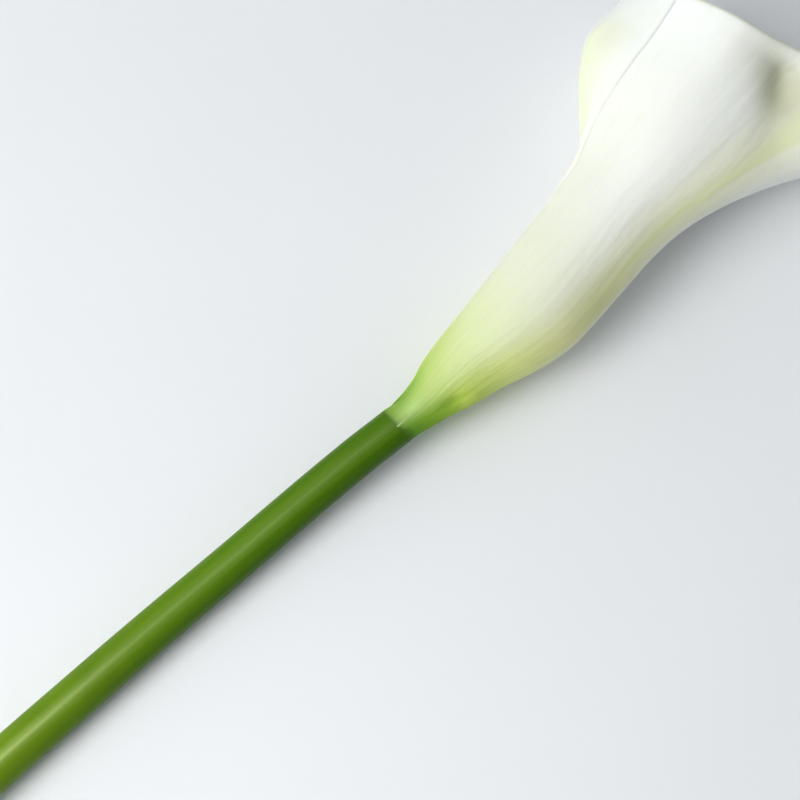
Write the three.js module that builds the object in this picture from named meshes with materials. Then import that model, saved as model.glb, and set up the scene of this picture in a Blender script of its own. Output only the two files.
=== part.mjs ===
// A cut calla lily flower lying on a surface: one fleshy stem, one rolled bract (the spathe)
// and the spike of florets (the spadix) that stands inside it.
// Millimetres, +Z up, z = 0 is the surface that the flower lies on, and +X runs from the cut
// end of the stem to the mouth of the spathe.

import * as THREE from 'three';

// Stem
const STEM_LENGTH = 295;
const STEM_TOP_RADIUS = 5.8;
const STEM_TAPER = 0.0034;
const STEM_SIDES = 20;
const STEM_STEPS = 36;
const STEM_BEND_LENGTH = 95;
const CUT_SLANT = 20;
const CUT_SLANT_LENGTH = 20;
const CUT_EDGE = 0.5;
const STEM_SIDEWAYS = [[-295, -1.2], [-200, 0.9], [-110, 1.9], [-50, 1.2], [-15, 0.2], [0, -0.9]];

// Seat of the flower on the stem
const SEAT_RADIUS = 3.1;
const SEAT_HEIGHT = 8;
const SEAM_GAP = 0.3;

// How the flower is carried by the stem, in degrees and millimetres
const BASE_HEIGHT = 10.2;
const FLOWER_RISE = 6.3;
const FLOWER_TURN = 1.9;

// Spathe. A place on it is an angle round the flower, in degrees from the midrib, and a height
// along the flower's axis. The angle runs past a half turn on both sides, because the two
// margins overlap. It is 0 at the midrib, positive through the underside to the outer margin,
// and negative over the top to the inner margin.
const MIDRIB_FROM_TOP = 64.4;
const TUBE_RADIUS = [
  [0, 5.8], [14, 7.5], [28, 10.4], [45, 13.6], [60, 15.5], [75, 16.1], [90, 16.9], [110, 18.4], [160, 19.6],
];
const TUBE_SIDEWAYS = [
  [0, 0.9], [7, 1.7], [14, 2.0], [19, 2.0], [28, 2.25], [40, 3.4], [52, 3.8], [62, 3.0],
  [75, 1.8], [90, 0.1], [110, -0.5], [160, -0.6],
];
const TUBE_WIDENS = [
  [0, 0], [6, -0.045], [13, 0.01], [19, 0.11], [28, 0.095], [40, 0.105], [52, 0.1], [62, 0.065],
  [75, 0.05], [90, 0.045], [108, 0], [160, 0],
];
const RIM_HEIGHT = [
  [-200, 143], [-150, 147.5], [-110, 143.5], [-75, 147.2], [-38, 152.8], [0, 147], [38, 151],
  [75, 147], [120, 140], [165, 140], [210, 145], [250, 146], [280, 146],
];
const SHOULDER = [
  [-200, 9], [-150, 12.8], [-110, 6], [-75, 1.8], [-50, 1.2], [-25, 1.8], [0, 3.6], [32, 0],
  [75, 2.2], [120, 0], [165, 9], [210, 22.5], [250, 12.4], [280, 10],
];
const FLARE = [
  [-200, 3], [-150, 3.6], [-110, 10.5], [-75, 10], [-50, 4], [-25, 0], [0, 0], [32, 20.8],
  [75, 16], [120, 7.8], [165, 5.9], [210, -0.7], [250, 2.1], [280, 2],
];
const SHOULDER_START = 88.5;
const SHOULDER_LENGTH = 36.5;
const FLARE_START = 87.5;
const FLARE_POWER = 2.1;
const TIP_REACH = 18;
const TIP_WIDTH = 22;
const TIP_ROUNDNESS = 1.5;
const TIP_CURL = 15;
const TIP_CURL_WIDTH = 26;
const TIP_CURL_START = 130;
const TIP_CURL_LENGTH = 28;
const CREASE_DEPTH = 4.7;
const CREASE_ANGLE = -23;
const CREASE_WIDTH = 28;
const CREASE_HEIGHT = 146.5;
const CREASE_LENGTH = 8.2;
const CREASE_SLOPE = -0.18;
const CREASE_TO_RIM = 7;
const OUTER_MARGIN = [
  [0, 193], [0.3, 196], [0.55, 200], [0.65, 207], [0.72, 226], [0.78, 237], [0.86, 244.5], [1, 249.5],
];
const PRESSED_WIDTH = 22;
const PRESSED_BY = 15;
const INNER_MARGIN = 192;
const INNER_MARGIN_AT_BASE = 162;
const MARGIN_OVERLAP_BY = 0.16;
const LAYER_SPACING = 1.8;
const LAYER_SPACING_BY = 7;
const OUTER_CORNER = 4;
const INNER_CORNER = 8;
const OUTER_HALF_WIDTH = 125;
const INNER_HALF_WIDTH = 84;
const SHEET_THICKNESS = 1.3;
const BASE_THICKNESS = 1.8;
const EDGE_THICKNESS = 0.8;
const BASE_THINS_BY = 0.12;
const MARGIN_THINS_OVER = 0.12;
const RIM_THINS_OVER = 0.15;
const FLOOR_BLEND = 1.5;
const SPATHE_COLUMNS = 64;
const SPATHE_ROWS = 38;
const COLUMNS_DRAWN_OUT = 0.3;
const ROWS_DRAWN_UP = 0.4;

// Spadix
const SPADIX_TOP = 80;
const SPADIX_RADIUS = [[0, 2.7], [0.12, 3.7], [0.3, 4.5], [0.6, 4.4], [0.85, 3.8], [0.95, 2.9], [1, 0.8]];
const FLORETS_ROUND = 9;
const FLORET_ROWS = 44;
const FLORET_TWIST = 50;
const FLORET_SHOULDER = 0.62;
const FLORETS_FLATTEN_FROM = 0.9;
const FLAT_FLORET = 0.4;
const SPADIX_CAP = 0.4;
const POLLEN_FLORET = { rim: 0.4, crown: 0.6 };
const SEED_FLORET = { rim: 0.55, crown: 1.0 };
const SEED_ZONE = 0.22;

const radians = THREE.MathUtils.degToRad;

// Eased step from 0 to 1
function ease(x) {
  const t = THREE.MathUtils.clamp(x, 0, 1);
  return t * t * (3 - 2 * t);
}

// Height at x of a smooth curve through hand-set points
function through(points, x) {
  const last = points.length - 1;
  const at = THREE.MathUtils.clamp(x, points[0][0], points[last][0]);
  let i = 0;
  while (i < last - 1 && at > points[i + 1][0]) {
    i += 1;
  }
  const slope = (k) => {
    if (k === 0) {
      return 0;
    }
    const [x0, y0] = points[k - 1];
    const [x1, y1] = points[Math.min(k + 1, last)];
    return (y1 - y0) / (x1 - x0);
  };
  const lastSlope = (points[last][1] - points[last - 1][1]) / (points[last][0] - points[last - 1][0]);
  const width = points[i + 1][0] - points[i][0];
  const t = (at - points[i][0]) / width;
  const startSlope = slope(i) * width;
  const endSlope = (i + 1 === last ? lastSlope : slope(i + 1)) * width;
  return (2 * t ** 3 - 3 * t ** 2 + 1) * points[i][1] + (t ** 3 - 2 * t ** 2 + t) * startSlope
    + (3 * t ** 2 - 2 * t ** 3) * points[i + 1][1] + (t ** 3 - t ** 2) * endSlope;
}

// The flower's own axes: along it, to its right and up out of it
const along = new THREE.Vector3(1, 0, 0)
  .applyAxisAngle(new THREE.Vector3(0, 1, 0), -radians(FLOWER_RISE))
  .applyAxisAngle(new THREE.Vector3(0, 0, 1), radians(FLOWER_TURN));
const rightward = new THREE.Vector3(0, -1, 0)
  .applyAxisAngle(new THREE.Vector3(0, 0, 1), radians(FLOWER_TURN));
const upward = new THREE.Vector3().crossVectors(rightward, along);

// Point at a height on the flower's axis and a turn round it, in degrees from straight up
function flowerPoint(height, radius, turn) {
  const sideways = through(TUBE_SIDEWAYS, height) + radius * Math.sin(radians(turn));
  return new THREE.Vector3(0, 0, BASE_HEIGHT)
    .addScaledVector(along, height)
    .addScaledVector(rightward, sideways)
    .addScaledVector(upward, radius * Math.cos(radians(turn)));
}

// Height of the rim, which is drawn out to a tip at the midrib
function rimTop(angle) {
  return through(RIM_HEIGHT, angle) + TIP_REACH * Math.exp(-((Math.abs(angle) / TIP_WIDTH) ** TIP_ROUNDNESS));
}

// Depth of the short crease where the limb bends outward beside the tip
function creaseDepth(angle, height) {
  const offAngle = (angle - CREASE_ANGLE) / CREASE_WIDTH;
  const offHeight = (height - CREASE_HEIGHT - CREASE_SLOPE * (angle - CREASE_ANGLE)) / CREASE_LENGTH;
  const belowRim = ease((rimTop(angle) - height) / CREASE_TO_RIM);
  return CREASE_DEPTH * Math.exp(-(offAngle ** 2) - offHeight ** 2) * belowRim;
}

// Radius of the spathe's outer face as it would stand alone
function freeRadius(angle, height) {
  const shoulder = through(SHOULDER, angle) * ease((height - SHOULDER_START) / SHOULDER_LENGTH);
  const reach = (height - FLARE_START) / (through(RIM_HEIGHT, angle) - FLARE_START);
  const flare = through(FLARE, angle) * THREE.MathUtils.clamp(reach, 0, 1.5) ** FLARE_POWER;
  const curl = TIP_CURL * Math.exp(-((angle / TIP_CURL_WIDTH) ** 2))
    * Math.max(0, (height - TIP_CURL_START) / TIP_CURL_LENGTH) ** 2;
  const layer = LAYER_SPACING * (angle / 360) * ease(height / LAYER_SPACING_BY);
  return through(TUBE_RADIUS, height) + shoulder + flare + curl + layer - creaseDepth(angle, height);
}

// Radius of the spathe's outer face. The outer margin lies on the layer below it.
function spatheRadius(angle, height) {
  // the tube lies a little flattened, wider from side to side than from top to bottom
  const wider = 1 + through(TUBE_WIDENS, height) * Math.sin(radians(MIDRIB_FROM_TOP + angle)) ** 2;
  const free = freeRadius(angle, height);
  const margin = through(OUTER_MARGIN, height / through(RIM_HEIGHT, OUTER_MARGIN.at(-1)[1]));
  const pressed = ease((angle - margin + PRESSED_WIDTH) / PRESSED_BY);
  if (pressed === 0) {
    return free * wider;
  }
  const below = freeRadius(angle - 360, height) + LAYER_SPACING * ease(height / LAYER_SPACING_BY);
  return THREE.MathUtils.lerp(free, below, pressed) * wider;
}

// The limb is soft, so where it would sink below the surface it is flattened on it
function onFloor(z) {
  if (z > FLOOR_BLEND) {
    return z;
  }
  return z < -FLOOR_BLEND ? 0 : (z + FLOOR_BLEND) ** 2 / (4 * FLOOR_BLEND);
}

function spathePoint(angle, height) {
  const point = flowerPoint(height, spatheRadius(angle, height), MIDRIB_FROM_TOP + angle);
  point.z = onFloor(point.z);
  return point;
}

// Outward normal of the spathe's outer face, from two short steps along it
function spatheNormal(angle, height) {
  const step = 0.2;
  const round = spathePoint(angle + step, height).sub(spathePoint(angle - step, height));
  const up = spathePoint(angle, height + step).sub(spathePoint(angle, height - step));
  return round.cross(up).normalize();
}

// Angle and height at a place on the sheet: across runs from -1 at the inner margin to 1 at the
// outer one, and rise from 0 at the base to 1 at the rim, whose two corners are rounded
function sheetPlace(across, rise) {
  const closing = ease(rise / MARGIN_OVERLAP_BY);
  const outer = through(OUTER_MARGIN, rise);
  const inner = INNER_MARGIN_AT_BASE + (INNER_MARGIN - INNER_MARGIN_AT_BASE) * closing;
  const angle = across < 0 ? across * inner : across * outer;
  const corner = across < 0 ? INNER_CORNER : OUTER_CORNER;
  const fromMargin = (1 - Math.abs(across)) * (across < 0 ? INNER_HALF_WIDTH : OUTER_HALF_WIDTH);
  const inCorner = Math.max(0, corner - fromMargin);
  const dip = corner - Math.sqrt(corner ** 2 - inCorner ** 2);
  const top = rimTop(angle) - dip;
  return { angle, height: SEAM_GAP + rise * (top - SEAM_GAP) };
}

function sheetThickness(across, rise) {
  const body = THREE.MathUtils.lerp(BASE_THICKNESS, SHEET_THICKNESS, ease(rise / BASE_THINS_BY));
  const edge = Math.min((1 - Math.abs(across)) / MARGIN_THINS_OVER, (1 - rise) / RIM_THINS_OVER);
  return THREE.MathUtils.lerp(EDGE_THICKNESS, body, ease(edge));
}

// Closed solid from a grid of outer points and a grid of inner points, row by row
function closedSheet(columns, rows, outerAt, innerAt) {
  const positions = [];
  const count = (columns + 1) * (rows + 1);
  for (const pointAt of [outerAt, innerAt]) {
    for (let i = 0; i <= columns; i += 1) {
      for (let j = 0; j <= rows; j += 1) {
        positions.push(...pointAt(i, j).toArray());
      }
    }
  }
  const index = [];
  const id = (face, i, j) => face * count + i * (rows + 1) + j;
  const quad = (a, b, c, d) => index.push(a, b, c, a, c, d);
  for (let i = 0; i < columns; i += 1) {
    for (let j = 0; j < rows; j += 1) {
      quad(id(0, i, j), id(0, i + 1, j), id(0, i + 1, j + 1), id(0, i, j + 1));
      index.push(id(1, i, j), id(1, i, j + 1), id(1, i + 1, j + 1));
      index.push(id(1, i, j), id(1, i + 1, j + 1), id(1, i + 1, j));
    }
    quad(id(0, i + 1, 0), id(0, i, 0), id(1, i, 0), id(1, i + 1, 0));
    quad(id(0, i, rows), id(0, i + 1, rows), id(1, i + 1, rows), id(1, i, rows));
  }
  for (let j = 0; j < rows; j += 1) {
    quad(id(0, 0, j), id(0, 0, j + 1), id(1, 0, j + 1), id(1, 0, j));
    quad(id(0, columns, j + 1), id(0, columns, j), id(1, columns, j), id(1, columns, j + 1));
  }
  const geometry = new THREE.BufferGeometry();
  geometry.setAttribute('position', new THREE.Float32BufferAttribute(positions, 3));
  geometry.setIndex(index);
  geometry.computeVertexNormals();
  return geometry;
}

// The rolled bract, with narrower steps near its two margins and its rim
function spatheGeometry() {
  const acrossAt = (i) => {
    const w = (2 * i) / SPATHE_COLUMNS - 1;
    return THREE.MathUtils.lerp(w, Math.sin((w * Math.PI) / 2), COLUMNS_DRAWN_OUT);
  };
  const riseAt = (j) => {
    const share = j / SPATHE_ROWS;
    return share * (1 + ROWS_DRAWN_UP * (1 - share));
  };
  const outerAt = (i, j) => {
    const place = sheetPlace(acrossAt(i), riseAt(j));
    return spathePoint(place.angle, place.height);
  };
  const innerAt = (i, j) => {
    const across = acrossAt(i);
    const rise = riseAt(j);
    const place = sheetPlace(across, rise);
    const inward = spatheNormal(place.angle, place.height).multiplyScalar(-sheetThickness(across, rise));
    return spathePoint(place.angle, place.height).add(inward);
  };
  return closedSheet(SPATHE_COLUMNS, SPATHE_ROWS, outerAt, innerAt);
}

// Centre of the stem at x, from -STEM_LENGTH at the cut end to 0 at the flower. Two of its
// lowest facet's edges touch the surface until it bends up to the flower.
function stemRadius(x) {
  return STEM_TOP_RADIUS - STEM_TAPER * x;
}

function stemCentre(x) {
  const resting = Math.cos(Math.PI / STEM_SIDES);
  const lift = BASE_HEIGHT - stemRadius(0) * resting;
  const bend = Math.max(0, 1 + x / STEM_BEND_LENGTH);
  return new THREE.Vector3(x, through(STEM_SIDEWAYS, x), stemRadius(x) * resting + lift * bend ** 2);
}

// The stem is turned on a straight line and then bent along its centre line. Its top is a
// shoulder that carries the spathe and a seat that carries the spadix.
function stemGeometry() {
  const outline = [new THREE.Vector2(0, -STEM_LENGTH)];
  outline.push(new THREE.Vector2(stemRadius(-STEM_LENGTH) - CUT_EDGE, -STEM_LENGTH));
  for (let k = 0; k <= STEM_STEPS; k += 1) {
    const y = (CUT_EDGE - STEM_LENGTH) * (1 - k / STEM_STEPS);
    outline.push(new THREE.Vector2(stemRadius(y), y));
  }
  outline.push(new THREE.Vector2(SEAT_RADIUS, 0));
  outline.push(new THREE.Vector2(SEAT_RADIUS, SEAT_HEIGHT));
  outline.push(new THREE.Vector2(0, SEAT_HEIGHT));
  const geometry = new THREE.LatheGeometry(outline, STEM_SIDES, Math.PI / STEM_SIDES);
  const position = geometry.getAttribute('position');
  for (let k = 0; k < position.count; k += 1) {
    const side = position.getX(k);
    const x = position.getY(k);
    const high = position.getZ(k);
    position.setXYZ(k, ...bentOnStem(x, side, high).toArray());
  }
  geometry.computeVertexNormals();
  return geometry;
}

// A point beside the stem's straight line, moved to the bent one: the sections lean over from
// upright at the bend's start to square with the flower at its base
function bentOnStem(x, side, high) {
  if (x >= 0) {
    return flowerPoint(x, 0, 0).addScaledVector(rightward, side).addScaledVector(upward, high);
  }
  const share = ease(1 + x / STEM_BEND_LENGTH);
  const sideDirection = new THREE.Vector3(0, -1, 0).lerp(rightward, share).normalize();
  const highDirection = new THREE.Vector3(0, 0, 1).lerp(upward, share).normalize();
  const slant = Math.max(0, 1 - (x + STEM_LENGTH) / CUT_SLANT_LENGTH) * Math.tan(radians(CUT_SLANT));
  const point = stemCentre(x).addScaledVector(sideDirection, side).addScaledVector(highDirection, high);
  point.x += slant * (stemRadius(x) + high);
  return point;
}

// The spadix is a spike covered by florets in slanting rows. Each floret is a diamond cell: four
// corners in the grooves, a raised rim of four points and a crown.
function spadixGeometry() {
  const positions = [];
  const index = [];
  const known = new Map();
  const sector = 360 / FLORETS_ROUND;
  const start = SEAT_HEIGHT + SEAM_GAP;

  const vertex = (key, turn, share, lift) => {
    if (!known.has(key)) {
      const t = THREE.MathUtils.clamp(share, 0, 1);
      const height = THREE.MathUtils.lerp(start, SPADIX_TOP, t);
      const full = Math.min(1, FLAT_FLORET + ((1 - FLAT_FLORET) * (1 - t)) / (1 - FLORETS_FLATTEN_FROM));
      const radius = through(SPADIX_RADIUS, t) + lift * full;
      positions.push(...flowerPoint(height, radius, turn + FLORET_TWIST * t).toArray());
      known.set(key, positions.length / 3 - 1);
    }
    return known.get(key);
  };
  // Corner number i of a row lies half a sector past floret i of that row
  const corner = (i, row) => {
    const wrapped = (i + FLORETS_ROUND) % FLORETS_ROUND;
    const turn = (wrapped + 0.5 + 0.5 * (Math.abs(row) % 2)) * sector;
    return { key: `corner ${wrapped} ${row}`, turn, share: row / FLORET_ROWS };
  };

  for (let row = 0; row <= FLORET_ROWS; row += 1) {
    const odd = row % 2;
    const shape = row / FLORET_ROWS < SEED_ZONE ? SEED_FLORET : POLLEN_FLORET;
    for (let i = 0; i < FLORETS_ROUND; i += 1) {
      const turn = (i + 0.5 * odd) * sector;
      const share = row / FLORET_ROWS;
      const corners = [
        corner(i, row),
        corner(i - 1 + odd, row + 1),
        corner(i - 1, row),
        corner(i - 1 + odd, row - 1),
      ];
      const offsets = [[0.5, 0], [0, 1], [-0.5, 0], [0, -1]];
      const outer = corners.map((c) => vertex(c.key, c.turn, c.share, 0));
      const raised = offsets.map(([across, up], k) => vertex(
        `rim ${i} ${row} ${k}`,
        turn + across * sector * FLORET_SHOULDER,
        (row + up * FLORET_SHOULDER) / FLORET_ROWS,
        shape.rim,
      ));
      const crown = vertex(`crown ${i} ${row}`, turn, share, shape.crown);
      for (let k = 0; k < 4; k += 1) {
        const next = (k + 1) % 4;
        index.push(outer[k], outer[next], raised[next], outer[k], raised[next], raised[k]);
        index.push(raised[k], raised[next], crown);
      }
    }
  }
  // Both ends are closed by a fan round one point on the axis
  const closeEnd = (row, height, flip) => {
    positions.push(...flowerPoint(height, 0, 0).toArray());
    const centre = positions.length / 3 - 1;
    const edgeRow = row === 0 ? 0 : FLORET_ROWS;
    const beyond = row === 0 ? -1 : FLORET_ROWS + 1;
    const odd = edgeRow % 2;
    for (let i = 0; i < FLORETS_ROUND; i += 1) {
      const near = known.get(corner(i, edgeRow).key);
      const before = known.get(corner(i - 1 + odd, beyond).key);
      const after = known.get(corner(i + odd, beyond).key);
      if (flip) {
        index.push(centre, before, near, centre, near, after);
      } else {
        index.push(centre, near, before, centre, after, near);
      }
    }
  };
  closeEnd(0, start, false);
  closeEnd(FLORET_ROWS, SPADIX_TOP + SPADIX_CAP, true);

  const geometry = new THREE.BufferGeometry();
  geometry.setAttribute('position', new THREE.Float32BufferAttribute(positions, 3));
  geometry.setIndex(index);
  geometry.computeVertexNormals();
  return geometry;
}

const stemGreen = new THREE.MeshStandardMaterial({ color: 0x5c8a24, roughness: 0.38, metalness: 0 });
const spatheWhite = new THREE.MeshStandardMaterial({ color: 0xf4f8ee, roughness: 0.55, metalness: 0 });
const pollenYellow = new THREE.MeshStandardMaterial({ color: 0xe8b21c, roughness: 0.8, metalness: 0 });

function namedMesh(name, geometry, material) {
  const mesh = new THREE.Mesh(geometry, material);
  mesh.name = name;
  return mesh;
}

const flower = new THREE.Group();
flower.name = 'calla_lily_flower';
flower.add(namedMesh('peduncle', stemGeometry(), stemGreen));
flower.add(namedMesh('spathe', spatheGeometry(), spatheWhite));
flower.add(namedMesh('spadix', spadixGeometry(), pollenYellow));

// The origin is under the middle of the whole flower
const extent = new THREE.Box3().setFromObject(flower);
const middle = extent.getCenter(new THREE.Vector3());
flower.position.set(-middle.x, -middle.y, -extent.min.z);

export default flower;
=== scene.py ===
# A cut calla lily flower on a pale surface: the fine surfaces of its stem, spathe and spadix,
# their materials, and the light and camera of the photograph.
# The shapes are worked out in millimetres, with the flower's base over the origin, and then
# moved to the frame's place and to metres.

import math

import bmesh
import bpy
import numpy as np
from mathutils import Matrix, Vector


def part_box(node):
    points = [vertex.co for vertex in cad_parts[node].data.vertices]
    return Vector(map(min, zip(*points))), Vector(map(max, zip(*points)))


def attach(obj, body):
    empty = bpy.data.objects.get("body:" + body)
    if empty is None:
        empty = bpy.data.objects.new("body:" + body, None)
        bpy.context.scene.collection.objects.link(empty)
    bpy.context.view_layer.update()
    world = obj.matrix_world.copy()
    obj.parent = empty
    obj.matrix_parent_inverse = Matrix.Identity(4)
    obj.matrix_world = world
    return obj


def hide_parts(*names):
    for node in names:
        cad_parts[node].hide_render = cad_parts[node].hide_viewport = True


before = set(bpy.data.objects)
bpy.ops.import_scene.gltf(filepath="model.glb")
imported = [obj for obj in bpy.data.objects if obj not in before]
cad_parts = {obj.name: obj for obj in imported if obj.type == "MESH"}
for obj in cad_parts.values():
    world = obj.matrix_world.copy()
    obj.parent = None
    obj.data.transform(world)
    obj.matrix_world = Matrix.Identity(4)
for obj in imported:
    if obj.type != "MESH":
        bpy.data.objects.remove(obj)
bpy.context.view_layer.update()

MM = 0.001

# Stem, as in the part
STEM_LENGTH = 295
STEM_TOP_RADIUS = 5.8
STEM_TAPER = 0.0034
STEM_SIDES = 20
STEM_BEND_LENGTH = 95
CUT_SLANT = 20
CUT_SLANT_LENGTH = 20
CUT_EDGE = 0.5
STEM_SIDEWAYS = [[-295, -1.2], [-200, 0.9], [-110, 1.9], [-50, 1.2], [-15, 0.2], [0, -0.9]]
SEAT_RADIUS = 3.1
SEAT_HEIGHT = 8
SEAT_EDGE = 0.4
SEAM_GAP = 0.3

# How the flower is carried by the stem
BASE_HEIGHT = 10.2
FLOWER_RISE = 6.3
FLOWER_TURN = 1.9

# Spathe, as in the part: angles in degrees from the midrib, heights along the flower's axis.
# TUBE_WIDENS is the share by which the tube, which lies a little flattened, is wider sideways.
MIDRIB_FROM_TOP = 64.4
TUBE_RADIUS = [
    [0, 5.8], [14, 7.5], [28, 10.4], [45, 13.6], [60, 15.5], [75, 16.1], [90, 16.9],
    [110, 18.4], [160, 19.6],
]
TUBE_SIDEWAYS = [
    [0, 0.9], [7, 1.7], [14, 2.0], [19, 2.0], [28, 2.25], [40, 3.4], [52, 3.8], [62, 3.0],
    [75, 1.8], [90, 0.1], [110, -0.5], [160, -0.6],
]
TUBE_WIDENS = [
    [0, 0], [6, -0.045], [13, 0.01], [19, 0.11], [28, 0.095], [40, 0.105], [52, 0.1],
    [62, 0.065], [75, 0.05], [90, 0.045], [108, 0], [160, 0],
]
RIM_HEIGHT = [
    [-200, 143], [-150, 147.5], [-110, 143.5], [-75, 147.2], [-38, 152.8], [0, 147], [38, 151],
    [75, 147], [120, 140], [165, 140], [210, 145], [250, 146], [280, 146],
]
SHOULDER = [
    [-200, 9], [-150, 12.8], [-110, 6], [-75, 1.8], [-50, 1.2], [-25, 1.8], [0, 3.6], [32, 0],
    [75, 2.2], [120, 0], [165, 9], [210, 22.5], [250, 12.4], [280, 10],
]
FLARE = [
    [-200, 3], [-150, 3.6], [-110, 10.5], [-75, 10], [-50, 4], [-25, 0], [0, 0], [32, 20.8],
    [75, 16], [120, 7.8], [165, 5.9], [210, -0.7], [250, 2.1], [280, 2],
]
SHOULDER_START = 88.5
SHOULDER_LENGTH = 36.5
FLARE_START = 87.5
FLARE_POWER = 2.1
FLARE_MOST = 1.5
TIP_REACH = 18
TIP_WIDTH = 22
TIP_POWER = 1.5
TIP_CURL = 15
TIP_CURL_WIDTH = 26
TIP_CURL_START = 130
TIP_CURL_LENGTH = 28
CREASE_DEPTH = 4.7
CREASE_ANGLE = -23
CREASE_WIDTH = 28
CREASE_HEIGHT = 146.5
CREASE_LENGTH = 8.2
CREASE_SLOPE = -0.18
CREASE_TO_RIM = 7
OUTER_MARGIN = [
    [0, 193], [0.3, 196], [0.55, 200], [0.65, 207], [0.72, 226], [0.78, 237], [0.86, 244.5],
    [1, 249.5],
]
PRESSED_WIDTH = 22
PRESSED_BY = 15
INNER_MARGIN = 192
INNER_MARGIN_AT_BASE = 162
MARGIN_OVERLAP_BY = 0.16
LAYER_SPACING = 1.8
LAYER_SPACING_BY = 7
OUTER_CORNER = 4
INNER_CORNER = 8
OUTER_HALF_WIDTH = 125
INNER_HALF_WIDTH = 84
SHEET_THICKNESS = 1.3
BASE_THICKNESS = 1.8
BASE_THICK_TO = 0.12
FLOOR_BLEND = 1.5

# Spadix, as in the part
SPADIX_TOP = 80
SPADIX_RADIUS = [
    [0, 2.7], [0.12, 3.7], [0.3, 4.5], [0.6, 4.4], [0.85, 3.8], [0.95, 2.9], [1, 0.8],
]
FLORETS_ROUND = 9
FLORET_ROWS = 44
FLORET_TWIST = 50
SEED_ZONE = 0.22

# Finer steps and edges than the part's, in millimetres where they are lengths. The fine sheet
# grows out of the stem with no gap.
FINE_STEM_SIDES = 96
FINE_STEM_STEPS = 240
CUT_RINGS = 23
CUT_EDGE_RINGS = 6
RING_BELOW_TOP = 0.04
FINE_COLUMNS = 400
FINE_ROWS = 120
COLUMNS_GATHER = 0.3
ROWS_GATHER = 0.35
FINE_START = -0.1
FIRST_ROW = 0.0004
NORMAL_STEP = 0.2
FINE_EDGE = 0.4
EDGE_ROUNDS_OVER = 2.2
FLAP_EDGE = 0.03
FLAP_THINS_FROM = 88
FLAP_THINS_OVER = 14
MARGIN_WIDTH = 10
MARGIN_WIDENS = 8
MARGIN_CLEARANCE = 0.02
INNER_FLOOR_CLEARANCE = 0.05
STEPS_ROUND_FLORET = 16
STEPS_UP_FLORET = 7

# Small uneven forms of the stem: rise, number in a full turn, turn for each millimetre, start
STEM_WAVES = [
    (0.012, 11, 0, 0.6), (0.01, 17, 0.01, 1.9), (0.06, 0, 1 / 23, 0.8), (0.04, 1, 1 / 9, 0),
]
WAVES_FADE_AT_CUT = 6
WAVES_FADE_AT_TOP = 8
CUT_DISH = 0.5
CUT_DISH_POWER = 4
CUT_COLOUR_DEPTH = 0.3

# Soft ribs of the sheet: rise, number in a full turn and start; then how far they bend, over
# what length and how often in a turn; then where they swell, by length, turn and start
RIBS = [(0.05, 19, 0, 1.7, 17, 2, 13, 3, 0), (0.04, 31, 0.8, 1.3, 11, 0, 19, 5, 1)]
RIBS_FADE_AT_EDGE = 8
RIBS_FROM = 12
RIBS_FROM_OVER = 20
RIBS_LEAST = 0.3
RIBS_ANGLE = -30
RIBS_WIDTH = 40

# Small forms at the base: the seam where the rolled sheet leaves the stem, a dent and a bulge
SEAM_ANGLE = [[-1, -49], [12, -51], [17, -62], [24, -66]]
SEAM_FADE = 12
SEAM_START = 1.2
SEAM_STEP = 0.22
SEAM_STEP_WIDTH = 5
SEAM_STEP_END = -60
SEAM_STEP_FADE = 50
SEAM_RIDGE = 0.16
SEAM_RIDGE_AT = -1.5
SEAM_RIDGE_WIDTH = 3
DENT = {"angle": -14, "height": 15.2, "wide": 17, "long": 3.4, "lift": -0.45}
BULGE = {"angle": 5, "height": 19.5, "wide": 16, "long": 4, "lift": 0.45}

# Florets: how square and how round their domes are, their crowns, and what each adds to the
# spadix's radius, more in the seed zone and less at the tip
DOME_SQUARE = 3.0
DOME_ROUND = 0.6
CROWN_SPREAD = 0.35
DOME_LIFT = 0.45
CROWN_LIFT = 0.12
SEED_LIFT = 0.35
SEED_BLEND = 0.03
TIP_LIFT = 0.4
TIP_LIFT_SLOPE = 6
SPADIX_POLE = 0.4
TONE_ALONG = 12.9898
TONE_ACROSS = 78.233
TONE_SCALE = 43758.5453

# Small places on the sheet: painted shade over the olive tip colour in the valley beside the tip, a
# painted highlight above the seam at the base, and painted shade along the fold of the limb's left
# side
SHADE_TINGE = {"angle": -27, "height": 145, "wide": 34, "long": 8}
SHINE = {"angle": -66, "height": 6.5, "wide": 16, "long": 4}
FOLD_ANGLE = 212
FOLD_HEIGHT = 107
FOLD_DRIFT = 0.8

# Colours in sRGB from 0 to 255, and the ramps that run from 0 to 1 along a piece
FACE_RAMP = [
    (0.0, (106, 143, 46)), (0.02, (130, 168, 66)), (0.06, (152, 186, 84)), (0.1, (178, 202, 108)),
    (0.16, (196, 213, 136)), (0.24, (213, 224, 170)), (0.38, (222, 226, 200)),
    (0.62, (231, 233, 219)), (1.0, (234, 237, 232)),
]
FLANK_RAMP = [
    (0.0, (66, 108, 4)), (0.02, (92, 144, 16)), (0.06, (116, 161, 30)), (0.1, (140, 176, 50)),
    (0.15, (179, 203, 84)), (0.25, (210, 221, 138)), (0.36, (219, 220, 160)),
    (0.46, (212, 215, 158)), (0.62, (232, 234, 196)), (1.0, (240, 242, 220)),
]
MIDRIB_GREEN = (220, 228, 158)
CROWN_WHITE = (247, 249, 242)
# painted shade in the dent and painted light on the bulge
DENT_SHADE_GREEN = (112, 154, 40)
BULGE_LIGHT_GREEN = (204, 224, 112)
# painted highlight above the seam at the base
SHINE_GREEN = (196, 224, 138)
ROOT_GREEN = (58, 99, 2)
# painted highlight along the seam's ridge
SEAM_HIGHLIGHT_GREEN = (186, 212, 140)
# olive tip colour with painted shade in the crease and the valley beside the tip
CREASE_SHADE_OLIVE = (180, 182, 146)
SHADE_TINGE_OLIVE = (176, 178, 142)
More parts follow.
